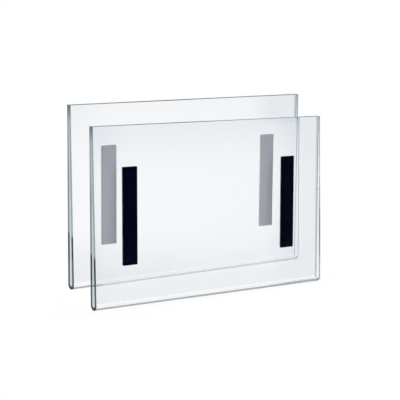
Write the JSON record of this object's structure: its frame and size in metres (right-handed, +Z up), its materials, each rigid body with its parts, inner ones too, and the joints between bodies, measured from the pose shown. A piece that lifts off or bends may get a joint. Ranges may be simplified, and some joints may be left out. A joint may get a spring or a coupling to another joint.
{
  "type": "acrylic sign holder",
  "caption": "Landscape clear acrylic sign holders folded into open-top pockets, shown as a stacked pair, each with magnet strips on its back for hanging on a steel surface.",
  "frame": {"origin": "on the steel surface that the rear holder hangs on, midway between its two strips and at half its height", "axes": "+X to the right as the sign is read, +Y into the steel surface, +Z up"},
  "size_m": [0.2306, 0.0254, 0.1577],
  "materials": {
    "clear_acrylic": "clear acrylic sheet, polished faces, grey-green cut edges",
    "front_magnet": "flexible rubber magnet, near-black with a blue cast, matt",
    "front_adhesive": "thin near-black adhesive film, seen through the acrylic",
    "rear_magnet": "flexible rubber magnet, mid grey, matt",
    "rear_adhesive": "thin mid grey adhesive film, seen through the acrylic"
  },
  "bodies": {
    "rear_holder": {"rear_pocket": "clear_acrylic", "rear_left_adhesive_film": "rear_adhesive", "rear_right_adhesive_film": "rear_adhesive", "rear_left_magnet_strip": "rear_magnet", "rear_right_magnet_strip": "rear_magnet"},
    "front_holder": {"front_pocket": "clear_acrylic", "front_left_adhesive_film": "front_adhesive", "front_right_adhesive_film": "front_adhesive", "front_left_magnet_strip": "front_magnet", "front_right_magnet_strip": "front_magnet"}
  },
  "joints": [
    {"name": "front_holder_lift_off", "type": "slide", "parent": "rear_holder", "child": "front_holder", "axis": [0, -0.8, 0.6], "range_m": [0, 0.15]}
  ]
}
